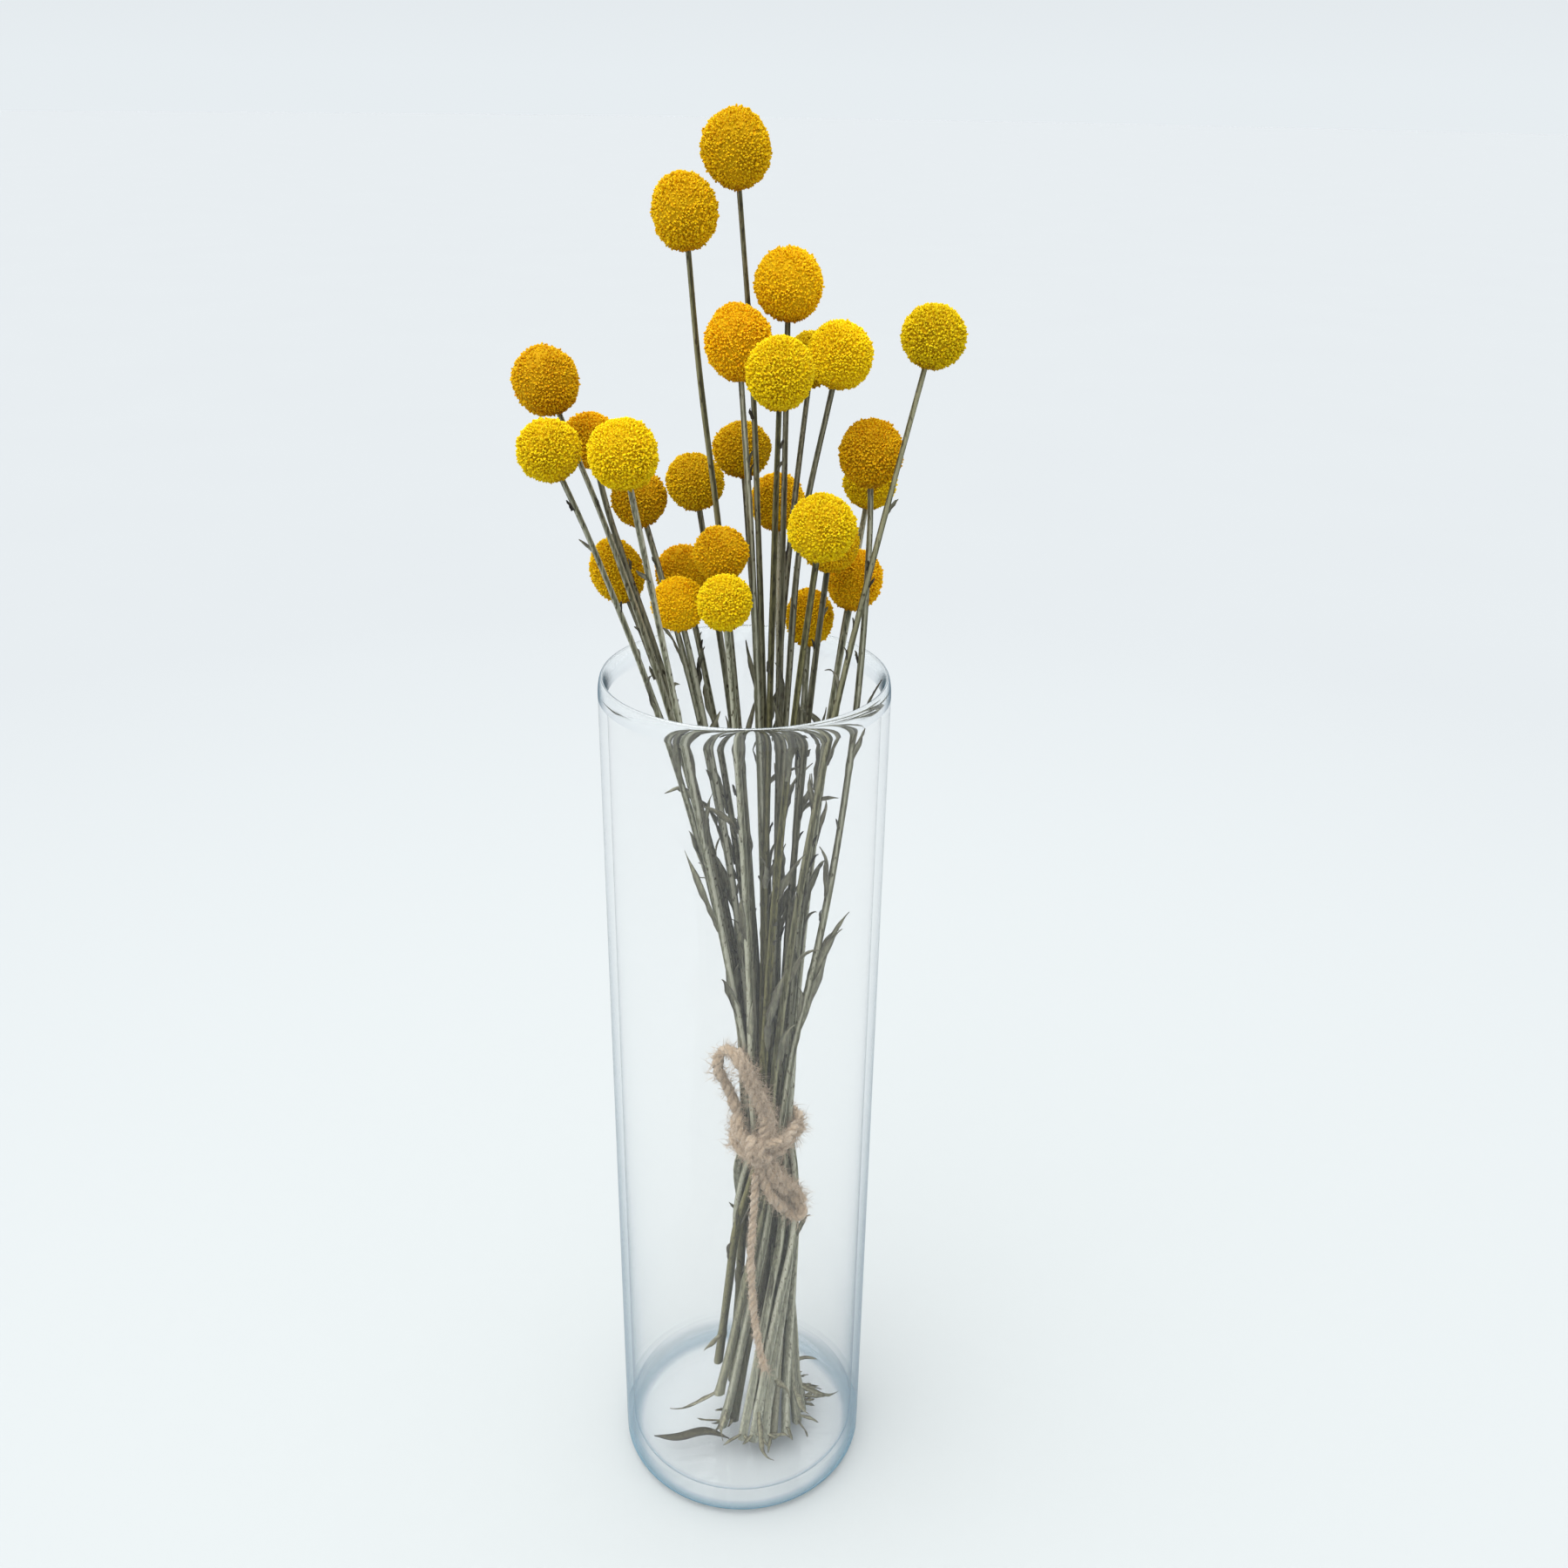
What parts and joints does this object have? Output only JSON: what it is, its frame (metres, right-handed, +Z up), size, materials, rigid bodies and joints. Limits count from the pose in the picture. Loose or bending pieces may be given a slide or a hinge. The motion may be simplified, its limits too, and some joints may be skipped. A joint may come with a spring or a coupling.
{
  "type": "dried billy buttons bouquet in a glass vase",
  "caption": "Bunch of dried billy buttons, ball-shaped flower heads on thin leafy stems tied with a jute bow, standing in a plain clear glass cylinder vase.",
  "frame": {"origin": "middle of the vase's flat foot, on the surface it stands on", "axes": "+Z up along the vase, -Y towards the side that carries the twine's bow, +X to the bow's right"},
  "size_m": [0.1395, 0.1048, 0.5255],
  "materials": {
    "clear_glass": "clear and polished",
    "golden_florets": "dry matt florets",
    "lemon_florets": "dry matt florets",
    "amber_florets": "dry matt florets",
    "dried_stem": "dry, furrowed and matt",
    "dried_leaf": "dry and matt",
    "jute_twine": "fuzzy spun fibre"
  },
  "bodies": {
    "root": {"glass_vase": "clear_glass", "flower_head_01": "golden_florets", "flower_stem_01": "dried_stem", "flower_head_02": "golden_florets", "flower_stem_02": "dried_stem", "flower_head_03": "golden_florets", "flower_stem_03": "dried_stem", "flower_head_04": "lemon_florets", "flower_stem_04": "dried_stem", "flower_head_05": "amber_florets", "flower_stem_05": "dried_stem", "flower_head_06": "lemon_florets", "flower_stem_06": "dried_stem", "flower_head_07": "lemon_florets", "flower_stem_07": "dried_stem", "flower_head_08": "lemon_florets", "flower_stem_08": "dried_stem", "flower_head_09": "amber_florets", "flower_stem_09": "dried_stem", "flower_head_10": "lemon_florets", "flower_stem_10": "dried_stem", "flower_head_11": "lemon_florets", "flower_stem_11": "dried_stem", "flower_head_12": "amber_florets", "flower_stem_12": "dried_stem", "flower_head_13": "amber_florets", "flower_stem_13": "dried_stem", "flower_head_14": "golden_florets", "flower_stem_14": "dried_stem", "flower_head_15": "golden_florets", "flower_stem_15": "dried_stem", "flower_head_16": "lemon_florets", "flower_stem_16": "dried_stem", "flower_head_17": "lemon_florets", "flower_stem_17": "dried_stem", "flower_head_18": "amber_florets", "flower_stem_18": "dried_stem", "flower_head_19": "golden_florets", "flower_stem_19": "dried_stem", "flower_head_20": "golden_florets", "flower_stem_20": "dried_stem", "flower_head_21": "amber_florets", "flower_stem_21": "dried_stem", "flower_head_22": "lemon_florets", "flower_stem_22": "dried_stem", "flower_head_23": "amber_florets", "flower_stem_23": "dried_stem", "flower_head_24": "golden_florets", "flower_stem_24": "dried_stem", "flower_head_25": "amber_florets", "flower_stem_25": "dried_stem", "flower_head_26": "golden_florets", "flower_stem_26": "dried_stem", "flower_head_27": "golden_florets", "flower_stem_27": "dried_stem", "jute_tie": "jute_twine", "jute_tail": "jute_twine", "fallen_leaf": "dried_leaf"}
  },
  "joints": []
}
